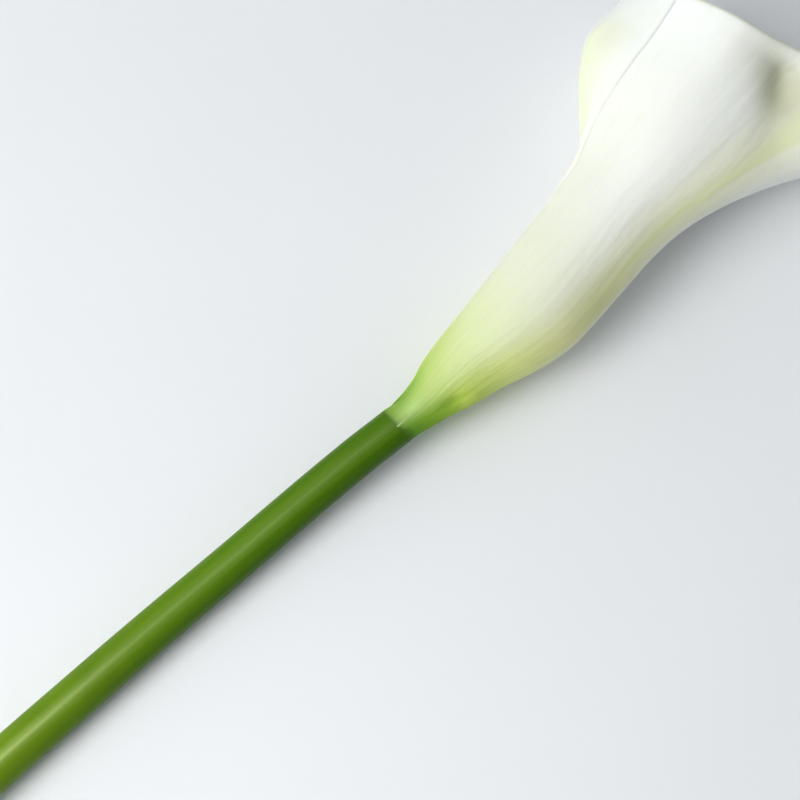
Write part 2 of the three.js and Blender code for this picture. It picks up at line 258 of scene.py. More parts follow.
# painted shade along the fold of the limb's left side
FOLD_SHADE_OLIVE = (216, 223, 180)
VEIN_GREY = (206, 212, 176)
RIM_GREEN = (214, 224, 168)
INSIDE_CREAM = (246, 246, 226)
STEM_RAMP = [
    (0.0, (110, 140, 24)), (0.5, (104, 137, 19)), (0.8, (80, 120, 8)), (0.93, (68, 109, 2)),
    (1.0, (63, 105, 1)),
]
STREAK_GREEN = (124, 156, 36)
PATCH_GREEN = (60, 100, 4)
SHADED_GREEN = (46, 84, 0)
SPECK_GREEN = (130, 160, 60)
TISSUE_PALE = (206, 220, 158)
TISSUE_PORE = (128, 154, 74)
TISSUE_SKIN = (120, 156, 58)
POLLEN_DEEP, POLLEN_TOP, POLLEN_LIGHT = (176, 118, 14), (244, 196, 48), (250, 218, 96)
OVARY_DEEP, OVARY_TOP = (120, 132, 40), (204, 208, 104)
GRAIN_LIGHT = (255, 232, 130)
FLOOR_DARK, FLOOR_LIGHT = (232, 234, 236), (235, 237, 239)

# Where the spathe's colours change, in degrees from the midrib or millimetres above the base:
# from, to, and the shares there where they aren't 0 and 1
RAMP_HEIGHTS = (0, 140)
GREEN_WANDERS = (0, 30, 2.0, 12.0)
# the left side's green reaches higher: painted shade towards the tube's turning edge
LAG_ROUND = (-125, -80, -6.5, 0.8)
LAG_STARTS = (2, 10)
LAG_ENDS = (25, 55, 1.0, 0.0)
FLANK_ROUND = (-56, -10)
FLANK_LATER = (20, 60, 0.0, 12.0)
UNDERSIDE_ROUND = (6, 40)
UNDERSIDE_HEIGHTS = (16, 60)
UPPER_HEIGHTS = (50, 90)
MIDRIB_DRIFTS = (106, 138, 0.0, 8.0)
MIDRIB_ABOVE = (-14, -1)
MIDRIB_BELOW = (2, 5, 1.0, 0.0)
CROWN_ABOVE = (-100, -52)
CROWN_BELOW = (-50, -12, 1.0, 0.0)
DENT_DEPTHS = (-0.4, -0.05, 0.42, 0.0)
BULGE_RISES = (0.1, 0.4, 0.0, 0.35)
ROOT_ROUND = (0, 1, 1.0, 0.4)
ROOT_HEIGHTS = (-0.1, 1.3, 0.9, 0.0)
SEAM_HALF_WIDTH = (1.0, 4.0, 1.0, 0.0)
SEAM_HEIGHTS = (0.2, 14, 0.75, 0.0)
CREASE_DEPTHS = (0.25, 0.85)
FOLD_HALF_WIDTH = (0, 13, 1.0, 0.0)
FOLD_STARTS = (86, 106)
FOLD_ENDS = (120, 134, 1.0, 0.0)
RIM_WIDTH = (0.0, 1.2, 0.3, 0.0)

# The most of each colour that shows
MIDRIB_SHARE = 0.42
CROWN_SHARE = 0.5
SHINE_SHARE = 0.5
CREASE_SHADE_SHARE = 0.35
SHADE_TINGE_SHARE = 0.62
FOLD_SHADE_SHARE = 0.6
INSIDE_SHARE = 0.1
ROOT_WANDERS = 0.1

# Where the stem's colours change: degrees round it, from the top, or millimetres along it
SHADED_FROM = (10, 75)
SHADED_TO = (110, 180, 1.0, 0.0)
SHADED_ALONG = (-200, -20, 0.15, 0.75)
SKIN_RADIUS = (5.2, 6.4)
PORE_SIZE = (0.1, 0.45, 1.0, 0.0)

# Long noise: its fineness across and along, its scale and its detail
GREEN_STREAKS = (0.07, 0.012, 3.0, 3.0)
VEINS = (0.16, 0.07, 1.0, 2.5)
STEM_STREAKS = (0.05, 0.01, 1.2, 3.0)

# Other noise: scale in a metre, and detail
SPATHE_CELLS = (2600.0, 2.0)
STEM_PATCHES = (60.0, 3.0)
STEM_SPECKS = (1500.0, 1.0)
STEM_PORES = 1500.0
POLLEN_GRAINS = (2400.0, 2.0)
FLOOR_SHADES = (6.0, 2.0)

# Where noise turns to colour or roughness: from, to, and the shares there
VEIN_TONES = (0.5, 0.75, 0.0, 0.1)
STREAK_TONES = (0.35, 0.75, 0.0, 0.16)
PATCH_TONES = (0.45, 0.7, 0.0, 0.18)
SPECK_TONES = (0.66, 0.74, 0.0, 0.08)
FLORET_TONES = (0.0, 1.0, 0.0, 0.35)
FLORET_HEIGHTS = (0.2, 0.95)
GRAIN_TONES = (0.5, 0.75, 0.0, 0.35)
FLOOR_TONES = (0.3, 0.7)
STEM_ROUGHNESS = (0.3, 0.7, 0.36, 0.41)
CUT_ROUGHER = 0.3

# Fine relief: strength, and depth in metres
VEIN_RELIEF = (0.4, 0.0007)
CELL_RELIEF = (0.1, 0.0001)
STREAK_RELIEF = (0.1, 0.0002)
SPECK_RELIEF = (0.05, 0.00005)
GRAIN_RELIEF = (0.6, 0.0002)

# The shaders' own constants
SPATHE_SURFACE = {
    "Roughness": 0.6, "Subsurface Weight": 0.2, "Subsurface Radius": (1.0, 0.95, 0.7),
    "Subsurface Scale": 0.002, "Specular IOR Level": 0.1,
}
STEM_SURFACE = {"Specular IOR Level": 0.13, "Specular Tint": (0.9, 1.0, 0.5, 1)}
SPADIX_SURFACE = {"Roughness": 0.85, "Sheen Weight": 0.3}
FLOOR_SURFACE = {"Roughness": 0.55, "Specular IOR Level": 0.1}

# Floor, and the width under which points at a piece's ends are one, in metres
FLOOR_HALF = 3.0
FLOOR_DROP = 0.0003
POLE_WIDTH = 1e-6

# Camera: the photograph's frame is 800 pixels square, and the flower's base is at this pixel
PICTURE = 800
BASE_PIXEL = (393, 425)
PIXEL_SIZE = 0.285
CAMERA_DISTANCE = 620
CAMERA_ELEVATION = 72
CAMERA_TURN = 42.43
SENSOR = 36

# Lights: place and target in millimetres from the flower's base in the picture's own directions,
# right, up and out of it, size in millimetres, and power in watts. The longer sides of the two
# over the stem run square to it.
ACROSS_STEM = (-0.648, 0.762)
WINDOW = {
    "place": (-1170, -300, 1200), "target": (60, 20, 0), "size": (960, 840), "power": 15.6,
    "colour": (1.0, 0.99, 0.98),
}
OVERHEAD = {
    "place": (-275, 179, 631), "target": (-60, -30, 0), "size": (480, 140), "power": 1.25,
    "along": ACROSS_STEM,
}
REFLECTOR = {
    "place": (-246, 81, 600), "target": (-171, -136, 0), "size": (310, 130), "power": 20.0,
    "along": ACROSS_STEM,
}

# The studio's own brightness: more on the window's side, and less round the camera
STUDIO_COLOUR = (0.93, 0.96, 1.0, 1)
STUDIO_SIDES = (-0.8, 0.8, 0.41, 0.81)
STUDIO_OVERHEAD = (0.7, 0.92, 1.0, 0.32)


def ease(x):
    t = np.clip(x, 0, 1)
    return t * t * (3 - 2 * t)


def bell(x, middle, width):
    """1 in the middle, and smoothly down to 0 on both sides."""
    return np.exp(-(((x - middle) / width) ** 2))


def through(points, x):
    """Height at x of a smooth curve through given points."""
    xs, ys = np.array(points, float).T
    slopes = np.zeros_like(ys)
    slopes[1:-1] = (ys[2:] - ys[:-2]) / (xs[2:] - xs[:-2])
    slopes[-1] = (ys[-1] - ys[-2]) / (xs[-1] - xs[-2])
    x = np.clip(np.asarray(x, float), xs[0], xs[-1])
    i = np.clip(np.searchsorted(xs, x) - 1, 0, len(xs) - 2)
    width = xs[i + 1] - xs[i]
    t = (x - xs[i]) / width
    return ((2 * t**3 - 3 * t**2 + 1) * ys[i] + (t**3 - 2 * t**2 + t) * width * slopes[i]
            + (3 * t**2 - 2 * t**3) * ys[i + 1] + (t**3 - t**2) * width * slopes[i + 1])


def unit(v):
    return v / np.linalg.norm(v, axis=-1, keepdims=True)


# The flower's own axes
rise, turn = math.radians(FLOWER_RISE), math.radians(FLOWER_TURN)
ALONG = np.array([math.cos(rise) * math.cos(turn), math.cos(rise) * math.sin(turn), math.sin(rise)])
RIGHT = np.array([math.sin(turn), -math.cos(turn), 0])
UP = np.cross(RIGHT, ALONG)


def flower_point(height, radius, turn_deg):
    a = np.radians(turn_deg)
    height, radius, a = np.broadcast_arrays(height, radius, a)
    sideways = through(TUBE_SIDEWAYS, height) + radius * np.sin(a)
    high = radius * np.cos(a)
    base = np.array([0, 0, BASE_HEIGHT])
    return base + height[..., None] * ALONG + sideways[..., None] * RIGHT + high[..., None] * UP


# Faces and mesh objects
def quads(a, b, c, d):
    """Faces with these corners, each given as an array of point numbers."""
    return np.stack(np.broadcast_arrays(a, b, c, d), -1).reshape(-1, 4)


def ring_faces(rings, sides):
    i = np.arange(rings - 1)[:, None] * sides
    j = np.arange(sides)[None, :]
    following = (j + 1) % sides
    return quads(i + j, i + following, i + sides + following, i + sides + j)


def mesh_object(name, points, faces, fields):
    """A smooth mesh object from points in millimetres, moved to the frame, with point fields."""
    mesh = bpy.data.meshes.new(name)
    mesh.from_pydata(((points + SHIFT) * MM).tolist(), [], faces)
    mesh.update()
    mesh.polygons.foreach_set("use_smooth", [True] * len(mesh.polygons))
    for key, values in fields.items():
        field = mesh.attributes.new(key, "FLOAT", "POINT")
        field.data.foreach_set("value", np.asarray(values, np.float32).ravel())
    piece = bpy.data.objects.new(name, mesh)
    bpy.context.scene.collection.objects.link(piece)
    return piece


# Stem
def stem_radius(x):
    return STEM_TOP_RADIUS - STEM_TAPER * x


def stem_centre(x):
    resting = math.cos(math.pi / STEM_SIDES)
    lift = BASE_HEIGHT - STEM_TOP_RADIUS * resting
    bend = np.maximum(0, 1 + x / STEM_BEND_LENGTH)
    return np.stack([x, through(STEM_SIDEWAYS, x), stem_radius(x) * resting + lift * bend**2], -1)


def bent_on_stem(x, side, high):
    x, side, high = np.broadcast_arrays(x, side, high)
    share = ease(1 + x / STEM_BEND_LENGTH)[..., None]
    side_direction = unit((1 - share) * np.array([0, -1, 0]) + share * RIGHT)
    high_direction = unit((1 - share) * np.array([0, 0, 1]) + share * UP)
    near_cut = np.maximum(0, 1 - (x + STEM_LENGTH) / CUT_SLANT_LENGTH)
    slant = near_cut * math.tan(math.radians(CUT_SLANT))
    point = stem_centre(x) + side[..., None] * side_direction + high[..., None] * high_direction
    point[..., 0] += slant * (stem_radius(x) + high)
    inside = flower_point(x, 0, 0) + side[..., None] * RIGHT + high[..., None] * UP
    point = np.where((x >= 0)[..., None], inside, point)
    point[..., 2] = np.maximum(point[..., 2], 0)
    return point


def stem_rings():
    """Distance along the stem and radius of each ring, from the middle of the cut end, along the
    skin and to the top of the seat inside the flower."""
    cut_radius = stem_radius(-STEM_LENGTH)
    rings = []
    for share in np.linspace(0, 1, CUT_RINGS + 1)[:-1]:
        rings.append((-STEM_LENGTH, share * (cut_radius - CUT_EDGE)))
    for a in np.linspace(0, math.pi / 2, CUT_EDGE_RINGS):
        inward, down = 1 - math.cos(a), 1 - math.sin(a)
        rings.append((-STEM_LENGTH + CUT_EDGE * inward, cut_radius - CUT_EDGE * down))
    for x in np.linspace(CUT_EDGE - STEM_LENGTH, -RING_BELOW_TOP, FINE_STEM_STEPS)[1:]:
        rings.append((x, stem_radius(x)))
    rings += [
        (0, stem_radius(0)), (0, SEAT_RADIUS), (SEAT_HEIGHT - SEAT_EDGE, SEAT_RADIUS),
        (SEAT_HEIGHT, SEAT_RADIUS - SEAT_EDGE), (SEAT_HEIGHT, 0),
    ]
    return np.array(rings)


def stem_points(rings):
    """Points round each ring, with faint ridges, and with a shallow dish in the cut end."""
    around = np.linspace(0, 2 * math.pi, FINE_STEM_SIDES, endpoint=False)
    x, radius = rings[:, :1], rings[:, 1:]
    fade = ease((x + STEM_LENGTH - CUT_EDGE) / WAVES_FADE_AT_CUT) * ease(-x / WAVES_FADE_AT_TOP)
    for size, number, turning, start in STEM_WAVES:
        radius = radius + fade * size * np.sin(around * number + x * turning + start)
    dish_share = np.minimum(1, radius / (stem_radius(-STEM_LENGTH) - CUT_EDGE))
    dish = np.where(x <= -STEM_LENGTH, CUT_DISH * (1 - dish_share**CUT_DISH_POWER), 0)
    points = bent_on_stem(x, radius * np.sin(around), radius * np.cos(around))
    points[..., 0] += dish
    return points


stem_outline = stem_rings()
stem_grid = stem_points(stem_outline)

# The fine stem lies in the middle of the part's stem, and everything moves with it
cad_low, cad_high = (np.array(corner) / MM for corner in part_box("peduncle"))
SHIFT = (cad_low + cad_high - stem_grid.min((0, 1)) - stem_grid.max((0, 1))) / 2
SHIFT[2] = 0


def clean_poles(piece):
    """Merges the rings of no width at the ends to single points."""
    mesh = bmesh.new()
    mesh.from_mesh(piece.data)
    bmesh.ops.remove_doubles(mesh, verts=mesh.verts, dist=POLE_WIDTH)
    mesh.to_mesh(piece.data)
    mesh.free()


def build_stem():
    rings, sides = stem_grid.shape[:2]
    along, radius = (np.repeat(values, sides) for values in stem_outline.T)
    piece = mesh_object(
        "stem_surface", stem_grid.reshape(-1, 3), ring_faces(rings, sides)[:, ::-1].tolist(), {
            "stem_along": along,
            "stem_radius": radius,
            "stem_cut": along <= -STEM_LENGTH + CUT_COLOUR_DEPTH,
            "stem_turn": np.tile(np.linspace(0, 360, sides, endpoint=False), rings),
        })
    clean_poles(piece)
    return piece


# Spathe
def rim_top(angle):
    tip = TIP_REACH * np.exp(-((np.abs(angle) / TIP_WIDTH) ** TIP_POWER))
    return through(RIM_HEIGHT, angle) + tip


def crease_place(angle, height):
    """1 in the middle of the short crease beside the tip, and 0 away from it."""
    middle = CREASE_HEIGHT + CREASE_SLOPE * (angle - CREASE_ANGLE)
    below_rim = ease((rim_top(angle) - height) / CREASE_TO_RIM)
    return bell(angle, CREASE_ANGLE, CREASE_WIDTH) * bell(height, middle, CREASE_LENGTH) * below_rim


def free_radius(angle, height):
    shoulder = through(SHOULDER, angle) * ease((height - SHOULDER_START) / SHOULDER_LENGTH)
    reach = (height - FLARE_START) / (through(RIM_HEIGHT, angle) - FLARE_START)
    flare = through(FLARE, angle) * np.clip(reach, 0, FLARE_MOST) ** FLARE_POWER
    curling = np.maximum(0, (height - TIP_CURL_START) / TIP_CURL_LENGTH) ** 2
    curl = TIP_CURL * bell(angle, 0, TIP_CURL_WIDTH) * curling
    layer = LAYER_SPACING * (angle / 360) * ease(height / LAYER_SPACING_BY)
    crease = CREASE_DEPTH * crease_place(angle, height)
    return through(TUBE_RADIUS, height) + shoulder + flare + curl + layer - crease


def spathe_radius(angle, height):
    margin = through(OUTER_MARGIN, height / through(RIM_HEIGHT, OUTER_MARGIN[-1][1]))
    pressed = ease((angle - margin + PRESSED_WIDTH) / PRESSED_BY)
    below = free_radius(angle - 360, height) + LAYER_SPACING * ease(height / LAYER_SPACING_BY)
    widens = through(TUBE_WIDENS, height) * np.sin(np.radians(MIDRIB_FROM_TOP + angle)) ** 2
    return (free_radius(angle, height) * (1 - pressed) + below * pressed) * (1 + widens)


def on_floor(z):
    blended = (z + FLOOR_BLEND) ** 2 / (4 * FLOOR_BLEND)
    return np.where(z > FLOOR_BLEND, z, np.where(z < -FLOOR_BLEND, 0, blended))


def spathe_point(angle, height):
    point = flower_point(height, spathe_radius(angle, height), MIDRIB_FROM_TOP + angle)
    point[..., 2] = on_floor(point[..., 2])
    return point


def spathe_normal(angle, height):
    step = NORMAL_STEP
    around = spathe_point(angle + step, height) - spathe_point(angle - step, height)
    up = spathe_point(angle, height + step) - spathe_point(angle, height - step)
    return unit(np.cross(around, up))


def outward(angle):
    """Direction straight out from the flower's axis."""
    a = np.radians(MIDRIB_FROM_TOP + angle)[..., None]
    return np.sin(a) * RIGHT + np.cos(a) * UP


def sheet_place(across, up):
    """Angle and height of a place on the flat sheet, and its distances from margin and rim."""
    closing = ease(up / MARGIN_OVERLAP_BY)
    outer = through(OUTER_MARGIN, up)
    inner = INNER_MARGIN_AT_BASE + (INNER_MARGIN - INNER_MARGIN_AT_BASE) * closing
    angle = np.where(across < 0, across * inner, across * outer)
    corner = np.where(across < 0, INNER_CORNER, OUTER_CORNER)
    from_margin = (1 - np.abs(across)) * np.where(across < 0, INNER_HALF_WIDTH, OUTER_HALF_WIDTH)
    in_corner = np.maximum(0, corner - from_margin)
    dip = corner - np.sqrt(np.maximum(corner**2 - in_corner**2, 0))
    top = rim_top(angle) - dip
    return angle, FINE_START + up * (top - FINE_START), from_margin, (1 - up) * top


def off_seam(angle, height):
    """Distance from the seam in degrees, negative on its raised side."""
    return angle - through(SEAM_ANGLE, height)


def patch(form, angle, height):
    """1 in the middle of a small soft place on the sheet, and 0 away from it."""
    return bell(angle, form["angle"], form["wide"]) * bell(height, form["height"], form["long"])


def base_forms(angle, height):
    return sum(form["lift"] * patch(form, angle, height) for form in (DENT, BULGE))


def seam_relief(angle, height):
    """The seam's low step, which runs out sideways, and the thin ridge along it."""
    off = off_seam(angle, height)
    step = ease(0.5 - off / SEAM_STEP_WIDTH) * ease((off - SEAM_STEP_END) / SEAM_STEP_FADE)
    lip = SEAM_STEP * step + SEAM_RIDGE * bell(off, SEAM_RIDGE_AT, SEAM_RIDGE_WIDTH)
    return lip * ease(1 - height / SEAM_FADE) * ease((height - FINE_START) / SEAM_START)


def rib_relief(angle, height):
    """Soft uneven ribs along the sheet, strongest on its upper side."""
    turned = np.radians(angle)
    relief = 0
    for size, number, start, bend, bend_over, bend_round, over, swell_round, swell_start in RIBS:
        bent = bend * np.sin(height / bend_over + turned * bend_round)
        swell = np.sin(height / over + turned * swell_round + swell_start)
        relief = relief + size * np.sin(turned * number + start + bent) * swell
    upper_side = RIBS_LEAST + (1 - RIBS_LEAST) * bell(angle, RIBS_ANGLE, RIBS_WIDTH)
    return relief * upper_side * ease((height - RIBS_FROM) / RIBS_FROM_OVER)


def sheet_grid():
    """Places on the flat sheet: columns gather at the margins, rows at the rim, and an extra row
    lies just above the base, so that the base stays sharp in smooth shading."""
    across = np.linspace(-1, 1, FINE_COLUMNS + 1)
    across = (1 - COLUMNS_GATHER) * across + COLUMNS_GATHER * np.sin(across * math.pi / 2)
    up = np.linspace(0, 1, FINE_ROWS + 1)
    up = (1 - ROWS_GATHER) * up + ROWS_GATHER * (1 - (1 - up) ** 2)
    return np.meshgrid(across, np.insert(up, 1, FIRST_ROW), indexing="ij")


def sheet_faces(columns, rows):
    """Faces of the outer and inner surfaces and of the four strips that join their edges."""
    count = columns * rows
    i, j = np.arange(columns - 1)[:, None] * rows, np.arange(rows - 1)[None, :]
    a, b, c, d = i + j, i + rows + j, i + rows + j + 1, i + j + 1
    base = np.arange(columns - 1) * rows
    top = base + rows - 1
    side = np.arange(rows - 1)
    last = (columns - 1) * rows + side
    return np.concatenate([
        quads(a, b, c, d),
        quads(a, d, c, b) + count,
        quads(base + rows, base, base + count, base + rows + count),
        quads(top, top + rows, top + rows + count, top + count),
        quads(side, side + 1, side + 1 + count, side + count),
        quads(last + 1, last, last + count, last + 1 + count),
    ])


def build_spathe():
    across, up = sheet_grid()
    angle, height, from_margin, from_rim = sheet_place(across, up)
    edge = np.minimum(from_margin, from_rim)
    # thick at the base, rounded to the edges, and thinnest along the upper outer margin
    body = BASE_THICKNESS + (SHEET_THICKNESS - BASE_THICKNESS) * ease(up / BASE_THICK_TO)
    rounding = np.sqrt(1 - (1 - np.clip(edge / EDGE_ROUNDS_OVER, 0, 1)) ** 2)
    upper = ease((height - FLAP_THINS_FROM) / FLAP_THINS_OVER)
    margin_width = MARGIN_WIDTH + MARGIN_WIDENS * upper
    at_margin = np.where(across > 0, ease(1 - from_margin / margin_width), 0)
    edge_thickness = FINE_EDGE + (FLAP_EDGE - FINE_EDGE) * at_margin * upper
    thickness = edge_thickness + (body - edge_thickness) * rounding
    # the outer margin lies close on the layer below, and other edges thin from both sides
    normal = spathe_normal(angle, height)
    spacing = LAYER_SPACING * ease(height / LAYER_SPACING_BY)
    over_layer_below = spacing * (normal * outward(angle)).sum(-1)
    sinks = np.maximum(0, over_layer_below - body - MARGIN_CLEARANCE)
    sunk = (body - thickness) * (0.5 + 0.5 * at_margin) + sinks * at_margin**2
    ribs = rib_relief(angle, height) * ease(edge / RIBS_FADE_AT_EDGE)
    relief = ribs + seam_relief(angle, height) + base_forms(angle, height)
    outer = spathe_point(angle, height) - normal * (sunk - relief)[..., None]
    inner = outer - normal * thickness[..., None]
    outer[..., 2] = np.maximum(outer[..., 2], 0)
    inner[..., 2] = np.maximum(inner[..., 2], INNER_FLOOR_CLEARANCE)
    points = np.concatenate([outer.reshape(-1, 3), inner.reshape(-1, 3)])
    fields = {
        "sheet_angle": angle,
        "sheet_height": height,
        "sheet_rim": from_rim,
        "sheet_crease": crease_place(angle, height),
        "sheet_seam": off_seam(angle, height),
        "sheet_forms": base_forms(angle, height),
        "sheet_shade_tinge": patch(SHADE_TINGE, angle, height),
        "sheet_shine": patch(SHINE, angle, height),
    }
    fields = {key: np.tile(values.ravel(), 2) for key, values in fields.items()}
    fields["sheet_inner"] = np.repeat([0.0, 1.0], angle.size)
    return mesh_object("spathe_surface", points, sheet_faces(*angle.shape).tolist(), fields)


# Spadix
def build_spadix():
    """Every floret is a small domed cushion on a slanting lattice round the spike."""
    columns, rows = FLORETS_ROUND * STEPS_ROUND_FLORET, FLORET_ROWS * STEPS_UP_FLORET
    share = np.linspace(0, 1, rows + 1)[:, None]
    around = np.linspace(0, 360, columns, endpoint=False)[None, :]
    # along the lattice's two slanting directions a floret's middle is at every whole number
    p = around / (360 / FLORETS_ROUND)
    q = share * FLORET_ROWS
    s, d = p + q / 2, p - q / 2
    off_s, off_d = (1 - np.abs((v % 1) - 0.5) * 2 for v in (s, d))
    dome = np.clip(1 - np.maximum(off_s, off_d) ** DOME_SQUARE, 0, 1) ** DOME_ROUND
    crown = np.exp(-(off_s**2 + off_d**2) / CROWN_SPREAD)
    seed = ease((SEED_ZONE - share) / SEED_BLEND + 0.5)
    lift = dome * (DOME_LIFT + SEED_LIFT * seed) + crown * (CROWN_LIFT + SEED_LIFT * seed)
    lift = lift * np.minimum(1, TIP_LIFT_SLOPE * (1 - share) + TIP_LIFT)
    # a tone that looks random and changes from diamond to diamond
    tone = np.sin(np.floor(s) * TONE_ALONG + np.floor(d) * TONE_ACROSS) * TONE_SCALE % 1
    start = SEAT_HEIGHT + SEAM_GAP
    height = start + (SPADIX_TOP - start) * share
    radius = through(SPADIX_RADIUS, share) + lift
    points = flower_point(height, radius, around + FLORET_TWIST * share).reshape(-1, 3)
    low_pole, high_pole, top = len(points), len(points) + 1, rows * columns
    poles = [flower_point(start, 0, 0), flower_point(SPADIX_TOP + SPADIX_POLE, 0, 0)]
    faces = ring_faces(rows + 1, columns).tolist()
    for k in range(columns):
        following = (k + 1) % columns
        faces.append([low_pole, following, k])
        faces.append([high_pole, top + k, top + following])
    fields = {"floret_dome": dome, "floret_seed": seed, "floret_tone": tone}
    for key, values in fields.items():
        fields[key] = np.append(np.broadcast_to(values, (rows + 1, columns)).ravel(), [0, 0])
    return mesh_object("spadix_surface", np.concatenate([points, poles]), faces, fields)


# Materials
def linear(colour):
    """Linear form of an sRGB colour given from 0 to 255."""
    shares = (value / 255 for value in colour)
    return tuple(s / 12.92 if s <= 0.04045 else ((s + 0.055) / 1.055) ** 2.4 for s in shares)


class Nodes:
    """A node tree, with a method for each kind of node that the materials take."""

    def __init__(self, tree):
        self.tree = tree

    def node(self, kind):
        return self.tree.nodes.new("ShaderNode" + kind)

    def feed(self, socket, value):
        """Gives a socket a number, an sRGB colour or another node's output."""
        if isinstance(value, tuple):
            socket.default_value = (*linear(value), 1)
        elif isinstance(value, (int, float)):
            socket.default_value = value
        else:
            self.tree.links.new(value, socket)

    def field(self, name):
        node = self.node("Attribute")
        node.attribute_name = name
        return node.outputs["Fac"]

    def place(self):
        return self.node("TexCoord").outputs["Object"]

    def ranged(self, value, low, high, at_low=0.0, at_high=1.0, smooth=True):
        node = self.node("MapRange")
        node.interpolation_type = "SMOOTHSTEP" if smooth else "LINEAR"
        self.feed(node.inputs["Value"], value)
        ends = {"From Min": low, "From Max": high, "To Min": at_low, "To Max": at_high}
        for name, end in ends.items():
            node.inputs[name].default_value = end
        return node.outputs["Result"]

    def maths(self, operation, *values):
        node = self.node("Math")
        node.operation = operation
        for socket, value in zip(node.inputs, values):
            self.feed(socket, value)
        return node.outputs[0]

    def times(self, first, *others):
        for other in others:
            first = self.maths("MULTIPLY", first, other)
        return first

    def plus(self, a, b):
        return self.maths("ADD", a, b)

    def minus(self, a, b):
        return self.maths("SUBTRACT", a, b)

    def mixed(self, share, a, b):
        node = self.node("Mix")
        node.data_type = "RGBA"
        for index, value in ((0, share), (6, a), (7, b)):
            self.feed(node.inputs[index], value)
        return node.outputs[2]

    def ramp(self, value, stops):
        node = self.node("ValToRGB")
        self.feed(node.inputs["Fac"], value)
        elements = node.color_ramp.elements
        while len(elements) < len(stops):
            elements.new(1.0)
        for element, (place, colour) in zip(elements, stops):
            element.position = place
            element.color = (*linear(colour), 1)
        return node.outputs["Color"]

    def noise(self, place, scale, detail):
        node = self.node("TexNoise")
        self.feed(node.inputs["Vector"], place)
        node.inputs["Scale"].default_value = scale
        node.inputs["Detail"].default_value = detail
        return node.outputs["Fac"]

    def long_noise(self, across, along, fine_across, fine_along, scale, detail):
        """Noise that is drawn out along the piece."""
        node = self.node("CombineXYZ")
        self.feed(node.inputs["X"], self.times(across, fine_across))
        self.feed(node.inputs["Y"], self.times(along, fine_along))
        return self.noise(node.outputs[0], scale, detail)

    def relief(self, height, strength, depth, normal=None):
        node = self.node("Bump")
        node.inputs["Strength"].default_value = strength
        node.inputs["Distance"].default_value = depth
        self.feed(node.inputs["Height"], height)
        if normal is not None:
            self.feed(node.inputs["Normal"], normal)
        return node.outputs["Normal"]


def material(name, constants):
    """A new material, its nodes and its shader, which is given these constants."""
    made = bpy.data.materials.new(name)
    made.use_nodes = True
    shader = made.node_tree.nodes["Principled BSDF"]
    for key, value in constants.items():
        shader.inputs[key].default_value = value
    return made, Nodes(made.node_tree), shader


